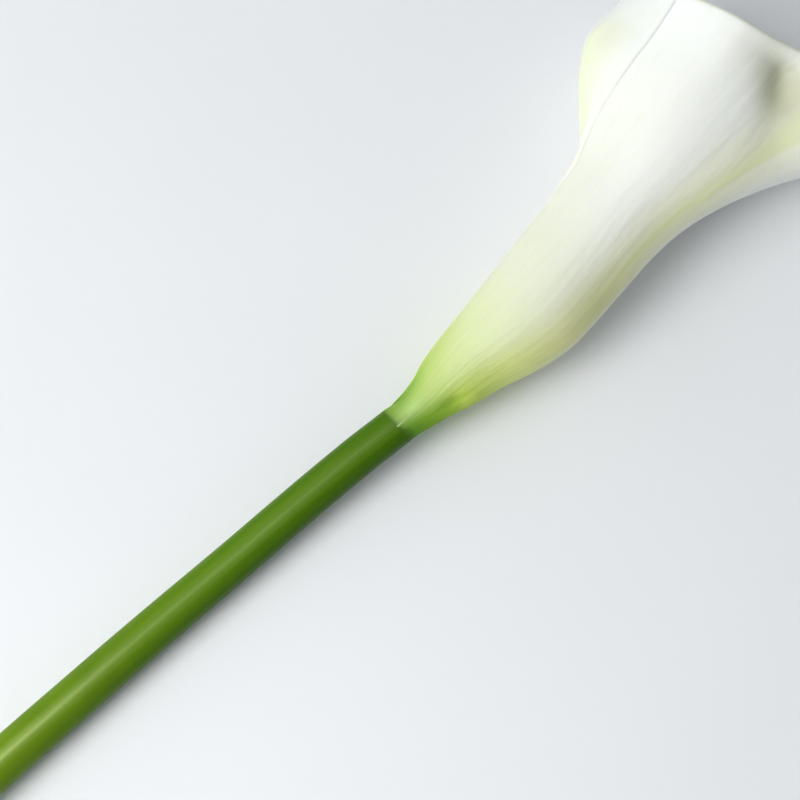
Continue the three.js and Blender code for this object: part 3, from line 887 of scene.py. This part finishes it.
def spathe_material():
    made, n, shader = material("spathe_white", SPATHE_SURFACE)
    angle, height = n.field("sheet_angle"), n.field("sheet_height")
    # green base to white limb, uneven where it fades, and reaching higher on the left side, where
    # the extra green is painted shade towards the tube's turning edge
    streaks = n.long_noise(angle, height, *GREEN_STREAKS)
    wander = n.times(n.minus(streaks, 0.5), n.ranged(height, *GREEN_WANDERS))
    lag = n.times(n.ranged(angle, *LAG_ROUND), n.ranged(height, *LAG_ENDS))
    lag = n.times(lag, n.ranged(height, *LAG_STARTS))
    share = n.ranged(n.plus(n.plus(height, wander), lag), *RAMP_HEIGHTS, smooth=False)
    face, flank = n.ramp(share, FACE_RAMP), n.ramp(share, FLANK_RAMP)
    on_flank = n.ranged(n.minus(angle, n.ranged(height, *FLANK_LATER)), *FLANK_ROUND)
    under = n.times(n.ranged(angle, *UNDERSIDE_ROUND), n.ranged(height, *UNDERSIDE_HEIGHTS))
    colour = n.mixed(n.times(on_flank, n.minus(1.0, under)), face, flank)
    # yellow-green midrib, soft above and sharp below, a little lower near the tip
    on_upper = n.ranged(height, *UPPER_HEIGHTS)
    beside = n.minus(angle, n.ranged(height, *MIDRIB_DRIFTS))
    midrib = n.times(n.ranged(beside, *MIDRIB_ABOVE), n.ranged(beside, *MIDRIB_BELOW))
    colour = n.mixed(n.times(midrib, on_upper, MIDRIB_SHARE), colour, MIDRIB_GREEN)
    # whitest along the crown of the tube
    crown = n.times(n.ranged(angle, *CROWN_ABOVE), n.ranged(angle, *CROWN_BELOW))
    colour = n.mixed(n.times(crown, on_upper, CROWN_SHARE), colour, CROWN_WHITE)
    # painted shade in the dent, painted light on the bulge, and a painted highlight above the seam
    # at the base
    forms = n.field("sheet_forms")
    colour = n.mixed(n.ranged(forms, *DENT_DEPTHS), colour, DENT_SHADE_GREEN)
    colour = n.mixed(n.ranged(forms, *BULGE_RISES), colour, BULGE_LIGHT_GREEN)
    colour = n.mixed(n.times(n.field("sheet_shine"), SHINE_SHARE), colour, SHINE_GREEN)
    # the stem's dark green runs a short way into the sheet
    near = n.times(height, n.ranged(on_flank, *ROOT_ROUND))
    root = n.ranged(n.plus(near, n.times(wander, ROOT_WANDERS)), *ROOT_HEIGHTS)
    colour = n.mixed(root, colour, ROOT_GREEN)
    # painted highlight along the seam where the rolled sheet leaves the stem
    off = n.maths("ABSOLUTE", n.field("sheet_seam"))
    seam = n.times(n.ranged(off, *SEAM_HALF_WIDTH), n.ranged(height, *SEAM_HEIGHTS))
    colour = n.mixed(seam, colour, SEAM_HIGHLIGHT_GREEN)
    # painted shade over the olive tip colour in the crease beside the tip, and painted shade along
    # the fold of the limb's left side
    crease = n.ranged(n.field("sheet_crease"), *CREASE_DEPTHS)
    colour = n.mixed(n.times(crease, CREASE_SHADE_SHARE), colour, CREASE_SHADE_OLIVE)
    colour = n.mixed(n.times(n.field("sheet_shade_tinge"), SHADE_TINGE_SHARE), colour, SHADE_TINGE_OLIVE)
    # painted shade along the fold, where the sheet turns away
    fold_angle = n.maths("MULTIPLY_ADD", height, FOLD_DRIFT, FOLD_ANGLE - FOLD_DRIFT * FOLD_HEIGHT)
    fold = n.ranged(n.maths("ABSOLUTE", n.minus(angle, fold_angle)), *FOLD_HALF_WIDTH)
    fold = n.times(fold, n.ranged(height, *FOLD_STARTS), n.ranged(height, *FOLD_ENDS))
    colour = n.mixed(n.times(fold, FOLD_SHADE_SHARE), colour, FOLD_SHADE_OLIVE)
    # faint long veins and soft puckers, and a thin greenish rim
    vein = n.long_noise(angle, height, *VEINS)
    colour = n.mixed(n.ranged(vein, *VEIN_TONES), colour, VEIN_GREY)
    colour = n.mixed(n.ranged(n.field("sheet_rim"), *RIM_WIDTH), colour, RIM_GREEN)
    colour = n.mixed(n.times(n.field("sheet_inner"), INSIDE_SHARE), colour, INSIDE_CREAM)
    n.feed(shader.inputs["Base Color"], colour)
    cells = n.noise(n.place(), *SPATHE_CELLS)
    relief = n.relief(cells, *CELL_RELIEF, n.relief(vein, *VEIN_RELIEF))
    n.feed(shader.inputs["Normal"], relief)
    return made


def stem_material():
    made, n, shader = material("stem_green", STEM_SURFACE)
    along, around, cut = n.field("stem_along"), n.field("stem_turn"), n.field("stem_cut")
    place = n.place()
    colour = n.ramp(n.ranged(along, -STEM_LENGTH, 0, smooth=False), STEM_RAMP)
    streak = n.long_noise(around, along, *STEM_STREAKS)
    colour = n.mixed(n.ranged(streak, *STREAK_TONES), colour, STREAK_GREEN)
    patches = n.noise(place, *STEM_PATCHES)
    colour = n.mixed(n.ranged(patches, *PATCH_TONES), colour, PATCH_GREEN)
    # deeper green on the side away from the window
    shaded = n.times(n.ranged(around, *SHADED_FROM), n.ranged(around, *SHADED_TO))
    shaded = n.times(shaded, n.ranged(along, *SHADED_ALONG))
    colour = n.mixed(shaded, colour, SHADED_GREEN)
    specks = n.noise(place, *STEM_SPECKS)
    colour = n.mixed(n.ranged(specks, *SPECK_TONES), colour, SPECK_GREEN)
    # cut end: pale tissue with fine air channels inside a greener skin
    pores = n.node("TexVoronoi")
    pores.inputs["Scale"].default_value = STEM_PORES
    n.feed(pores.inputs["Vector"], place)
    tissue = n.mixed(n.ranged(pores.outputs["Distance"], *PORE_SIZE), TISSUE_PALE, TISSUE_PORE)
    tissue = n.mixed(n.ranged(n.field("stem_radius"), *SKIN_RADIUS), tissue, TISSUE_SKIN)
    n.feed(shader.inputs["Base Color"], n.mixed(cut, colour, tissue))
    waxy = n.plus(n.ranged(streak, *STEM_ROUGHNESS), n.times(cut, CUT_ROUGHER))
    n.feed(shader.inputs["Roughness"], waxy)
    relief = n.relief(specks, *SPECK_RELIEF, n.relief(streak, *STREAK_RELIEF))
    n.feed(shader.inputs["Normal"], relief)
    return made


def spadix_material():
    made, n, shader = material("spadix_yellow", SPADIX_SURFACE)
    height = n.ranged(n.field("floret_dome"), *FLORET_HEIGHTS)
    tone = n.ranged(n.field("floret_tone"), *FLORET_TONES, smooth=False)
    pollen = n.mixed(tone, n.mixed(height, POLLEN_DEEP, POLLEN_TOP), POLLEN_LIGHT)
    ovary = n.mixed(height, OVARY_DEEP, OVARY_TOP)
    grains = n.noise(n.place(), *POLLEN_GRAINS)
    colour = n.mixed(n.field("floret_seed"), pollen, ovary)
    colour = n.mixed(n.ranged(grains, *GRAIN_TONES), colour, GRAIN_LIGHT)
    n.feed(shader.inputs["Base Color"], colour)
    n.feed(shader.inputs["Normal"], n.relief(grains, *GRAIN_RELIEF))
    return made


def floor_material():
    made, n, shader = material("pale_floor", FLOOR_SURFACE)
    shade = n.ranged(n.noise(n.place(), *FLOOR_SHADES), *FLOOR_TONES)
    n.feed(shader.inputs["Base Color"], n.mixed(shade, FLOOR_DARK, FLOOR_LIGHT))
    return made


def wear(piece, made):
    piece.data.materials.append(made)
    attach(piece, "root")


stem = build_stem()
wear(stem, stem_material())
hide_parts("peduncle")

spathe = build_spathe()
wear(spathe, spathe_material())
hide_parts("spathe")

spadix = build_spadix()
wear(spadix, spadix_material())
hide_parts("spadix")

# Floor
floor_mesh = bpy.data.meshes.new("floor")
corners = [(x * FLOOR_HALF, y * FLOOR_HALF, 0) for x, y in ((-1, -1), (1, -1), (1, 1), (-1, 1))]
floor_mesh.from_pydata(corners, [], [(0, 1, 2, 3)])
floor_mesh.materials.append(floor_material())
floor = bpy.data.objects.new("floor", floor_mesh)
floor.location.z = -FLOOR_DROP
bpy.context.scene.collection.objects.link(floor)

# Camera: looks down along the flower from the stem's side
elevation, heading = math.radians(CAMERA_ELEVATION), math.radians(CAMERA_TURN)
camera_right = np.array([math.cos(heading), -math.sin(heading), 0])
forward_on_floor = np.array([math.sin(heading), math.cos(heading), 0])
look = forward_on_floor * math.cos(elevation) - np.array([0, 0, math.sin(elevation)])
camera_up = forward_on_floor * math.sin(elevation) + np.array([0, 0, math.cos(elevation)])
picture_axes = np.array([camera_right, camera_up, -look])
flower_base = np.array([0, 0, BASE_HEIGHT]) + SHIFT
offset_right = (PICTURE / 2 - BASE_PIXEL[0]) * PIXEL_SIZE
offset_up = (BASE_PIXEL[1] - PICTURE / 2) * PIXEL_SIZE
camera_place = flower_base + np.array([offset_right, offset_up, CAMERA_DISTANCE]) @ picture_axes
camera_data = bpy.data.cameras.new("camera")
camera_data.sensor_width = SENSOR
camera_data.lens = CAMERA_DISTANCE / PIXEL_SIZE / PICTURE * SENSOR
camera = bpy.data.objects.new("camera", camera_data)
camera.matrix_world = Matrix((*zip(*picture_axes, camera_place * MM), (0, 0, 0, 1)))
bpy.context.scene.collection.objects.link(camera)
bpy.context.scene.camera = camera


def area_light(name, place, target, size, power, colour=(1.0, 1.0, 1.0), along=(0, 1)):
    """A soft light whose longer side runs along a direction in the picture."""
    data = bpy.data.lights.new(name, "AREA")
    data.shape = "RECTANGLE"
    data.size, data.size_y = size[0] * MM, size[1] * MM
    data.energy = power
    data.color = colour
    lamp = bpy.data.objects.new(name, data)
    where, at = ((flower_base + np.array(spot) @ picture_axes) * MM for spot in (place, target))
    back = unit(where - at)
    side = np.array([*along, 0]) @ picture_axes
    side = unit(side - back * (side @ back))
    lamp.matrix_world = Matrix((*zip(side, np.cross(back, side), back, where), (0, 0, 0, 1)))
    bpy.context.scene.collection.objects.link(lamp)
    return lamp


# The window lights everything, the light overhead gives no gleam, and the reflector gives only
# gleams, above all the long soft one on the stem
area_light("window", **WINDOW)
area_light("overhead", **OVERHEAD).visible_glossy = False
area_light("reflector", **REFLECTOR).visible_diffuse = False

world = bpy.data.worlds.new("studio")
world.use_nodes = True
nodes = Nodes(world.node_tree)
direction = nodes.node("TexCoord").outputs["Generated"]


def share_towards(axis):
    """How far a direction in the world points the same way as this axis, from -1 to 1."""
    node = nodes.node("VectorMath")
    node.operation = "DOT_PRODUCT"
    nodes.feed(node.inputs[0], direction)
    node.inputs[1].default_value = tuple(axis)
    return node.outputs["Value"]


sides = nodes.ranged(share_towards(-camera_right), *STUDIO_SIDES)
overhead = nodes.ranged(share_towards(-look), *STUDIO_OVERHEAD)
background = world.node_tree.nodes["Background"]
nodes.feed(background.inputs["Strength"], nodes.times(sides, overhead))
background.inputs["Color"].default_value = STUDIO_COLOUR
bpy.context.scene.world = world
bpy.context.scene.view_settings.view_transform = "Standard"
